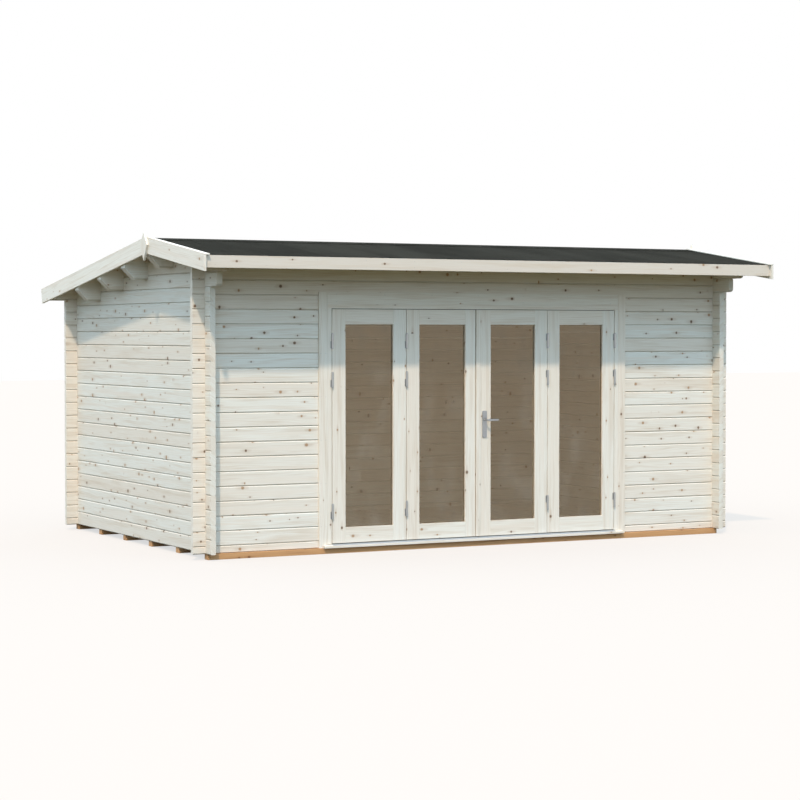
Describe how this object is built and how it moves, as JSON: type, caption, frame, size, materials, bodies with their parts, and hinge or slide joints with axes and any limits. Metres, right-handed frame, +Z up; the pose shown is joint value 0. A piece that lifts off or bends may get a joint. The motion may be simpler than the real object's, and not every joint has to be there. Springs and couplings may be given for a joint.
{
  "type": "summer house",
  "caption": "Log-built garden summer house with notched crossing corners, a low off-centre gable roof in felt, and a glazed front whose centre pair of doors opens outwards",
  "frame": {"origin": "on the ground, below the middle of the roof's outline", "axes": "+X to the right along the front, +Y to the back, +Z up"},
  "size_m": [5.282, 3.7698, 2.5423],
  "materials": {
    "spruce_logs": "planed bare spruce with knots",
    "spruce_trim": "planed bare spruce boards",
    "spruce_joinery": "sanded bare spruce",
    "floor_boards": "planed bare spruce boards",
    "roof_boards": "planed bare spruce boards",
    "treated_bearers": "sawn, impregnated brown",
    "roof_felt": "mineral-faced bitumen felt",
    "window_glass": "clear float glass",
    "hinge_steel": "zinc-plated",
    "handle_metal": "satin",
    "sill_metal": "mill finish"
  },
  "bodies": {
    "house": {"ground_bearers": "treated_bearers", "floor": "floor_boards", "front_wall_logs_left": "spruce_logs", "front_wall_logs_right": "spruce_logs", "front_wall_head_logs": "spruce_logs", "back_wall_logs": "spruce_logs", "left_wall_logs": "spruce_logs", "right_wall_logs": "spruce_logs", "left_gable_logs": "spruce_logs", "right_gable_logs": "spruce_logs", "ridge_purlin": "spruce_logs", "back_purlins": "spruce_logs", "front_roof_boards": "roof_boards", "back_roof_boards": "roof_boards", "front_roof_felt": "roof_felt", "back_roof_felt": "roof_felt", "left_barge_boards": "spruce_trim", "right_barge_boards": "spruce_trim", "left_cover_strips": "spruce_trim", "right_cover_strips": "spruce_trim", "left_finial": "spruce_trim", "right_finial": "spruce_trim", "front_fascia": "spruce_trim", "back_fascia": "spruce_trim", "door_jambs": "spruce_joinery", "door_head": "spruce_joinery", "door_sill": "spruce_joinery", "sill_strip": "sill_metal", "outside_casing": "spruce_trim", "inside_casing": "spruce_trim", "left_side_leaf_frame": "spruce_joinery", "right_side_leaf_frame": "spruce_joinery", "left_side_leaf_glass": "window_glass", "right_side_leaf_glass": "window_glass", "jamb_hinges": "hinge_steel", "side_leaf_hinge_halves": "hinge_steel"},
    "left_door": {"left_door_frame": "spruce_joinery", "left_door_glass": "window_glass", "left_door_hinge_halves": "hinge_steel"},
    "right_door": {"right_door_frame": "spruce_joinery", "right_door_glass": "window_glass", "right_door_hinge_halves": "hinge_steel", "meeting_strip": "spruce_joinery", "handle_plates": "handle_metal"},
    "lever": {"door_lever": "handle_metal"}
  },
  "joints": [
    {"name": "left_door_swing", "type": "hinge", "parent": "house", "child": "left_door", "pos_m": [-0.665, -1.3995, 1], "axis": [0, 0, -1], "range_deg": [0, 170]},
    {"name": "right_door_swing", "type": "hinge", "parent": "house", "child": "right_door", "pos_m": [0.665, -1.3995, 1], "axis": [0, 0, 1], "range_deg": [0, 170]},
    {"name": "lever_turn", "type": "hinge", "parent": "right_door", "child": "lever", "pos_m": [0.0595, -1.3905, 1.033], "axis": [0, 1, 0], "range_deg": [0, 40], "stiffness_Nm_per_rad": 0.8, "springref_deg": -28.65}
  ]
}
